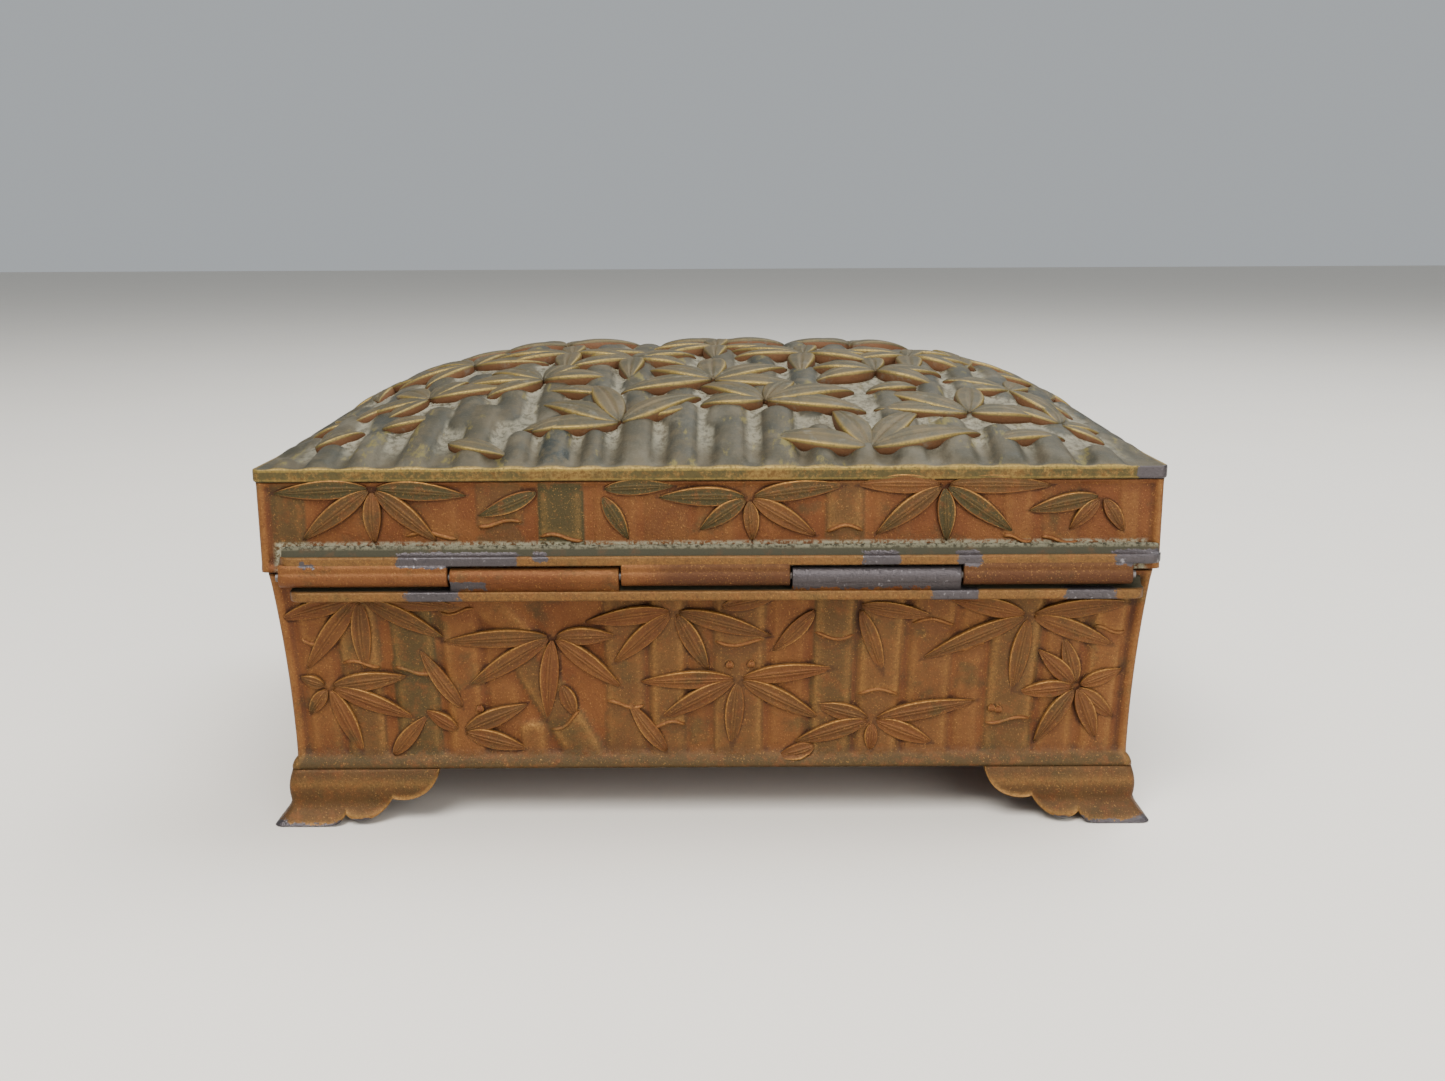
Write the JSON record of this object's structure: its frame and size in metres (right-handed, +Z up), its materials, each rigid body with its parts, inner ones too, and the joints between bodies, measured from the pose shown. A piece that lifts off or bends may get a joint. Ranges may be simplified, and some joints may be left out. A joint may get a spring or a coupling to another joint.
{
  "type": "trinket box",
  "caption": "Rectangular cast-metal trinket box with a domed relief lid on a long knuckle hinge, a flared tub lined in velvet and scalloped bracket feet.",
  "frame": {"origin": "centre of the bounding box at the table surface, under the middle of the box", "axes": "+Z up, +X along the box's length to the right as seen from the front, -Y towards the front where the lid opens, +Y towards the hinge"},
  "size_m": [0.1124, 0.0826, 0.058],
  "materials": {
    "gilt_relief": "aged satin gilt lacquer, reddish brown in the hollows and golden on the worn ridges",
    "dark_patina": "dull dark patina with grey-green bloom in the hollows and golden worn ridges",
    "worn_gilt": "satin gilt worn through to lead-grey metal in patches",
    "steel_wire": "dull drawn wire",
    "velvet": "short-pile cotton velvet, faded",
    "paperboard": "matte strawboard"
  },
  "bodies": {
    "tub": {"tub_walls": "gilt_relief", "tub_floor": "gilt_relief", "tub_hinge_leaf": "worn_gilt", "hinge_pin": "steel_wire", "foot_back_left": "gilt_relief", "foot_back_right": "gilt_relief", "foot_front_left": "gilt_relief", "foot_front_right": "gilt_relief", "lining_front": "velvet", "lining_back": "velvet", "lining_left": "velvet", "lining_right": "velvet", "floor_card": "paperboard", "floor_pad": "velvet"},
    "lid": {"lid_dome": "dark_patina", "lid_band": "gilt_relief", "lid_hinge_leaf": "worn_gilt", "lid_card": "paperboard", "lid_pad": "velvet"}
  },
  "joints": [
    {"name": "lid_hinge", "type": "hinge", "parent": "tub", "child": "lid", "pos_m": [0, 0.04007, 0.0332], "axis": [-1, 0, 0], "range_deg": [0, 115]}
  ]
}
